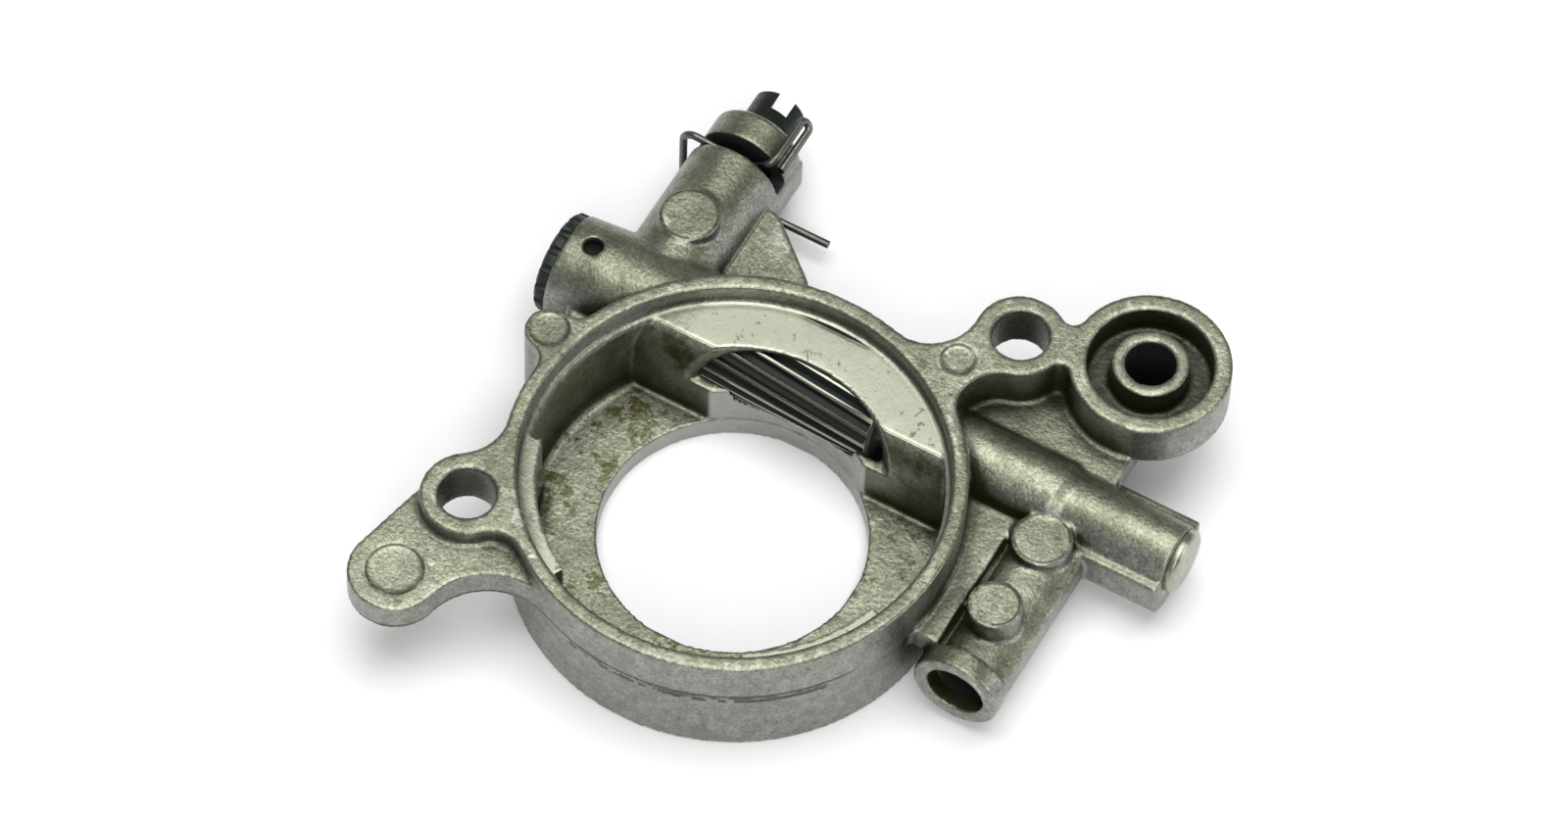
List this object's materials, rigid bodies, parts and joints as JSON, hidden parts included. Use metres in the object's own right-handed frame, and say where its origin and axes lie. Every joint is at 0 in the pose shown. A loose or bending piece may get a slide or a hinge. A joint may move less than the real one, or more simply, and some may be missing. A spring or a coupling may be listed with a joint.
{
  "type": "chainsaw oil pump",
  "caption": "Die-cast chainsaw oil pump: a cup for the crankshaft worm, a toothed plunger in a cross barrel, an adjuster screw with a lock wire, an inlet port and an outlet spigot.",
  "frame": {"origin": "on the crankshaft's axis at the back face of the casting", "axes": "+Z out of the front face along the crankshaft, +X along the plunger barrel towards the pump chamber, +Y from the crankshaft towards the barrel"},
  "size_m": [0.0698, 0.0724, 0.0143],
  "materials": {
    "cast_aluminium": "as cast, oil stained",
    "plunger_steel": "ground, oiled",
    "washer_steel": "satin",
    "spring_steel": "drawn wire",
    "black_plug": "matte black",
    "pin_steel": "dark, oiled",
    "black_screw": "blackened",
    "seal_rubber": "soft sheen",
    "lock_wire": "dark drawn wire",
    "plug_aluminium": "turned"
  },
  "bodies": {
    "housing": {"pump_housing": "cast_aluminium", "end_plug": "black_plug", "plug_pin": "pin_steel", "spring_seat": "washer_steel", "lock_spring": "lock_wire", "chamber_plug": "plug_aluminium"},
    "plunger_carrier": {"thrust_washer": "washer_steel", "return_spring": "spring_steel"},
    "plunger": {"pump_plunger": "plunger_steel"},
    "adjuster": {"adjuster_screw": "black_screw", "adjuster_o_ring": "seal_rubber"}
  },
  "joints": [
    {"name": "plunger_stroke", "type": "slide", "parent": "housing", "child": "plunger_carrier", "axis": [1, 0, 0], "range_m": [0, 0.0014], "stiffness_N_per_m": 600, "springref_m": -0.004, "deforming": ["return_spring"]},
    {"name": "plunger_spin", "type": "hinge", "parent": "plunger_carrier", "child": "plunger", "pos_m": [0, 0.0159, 0.0073], "axis": [1, 0, 0], "continuous": true},
    {"name": "adjuster_turn", "type": "hinge", "parent": "housing", "child": "adjuster", "pos_m": [-0.01875, 0.03, 0.00765], "axis": [0, 1, 0], "range_deg": [-90, 90]}
  ]
}
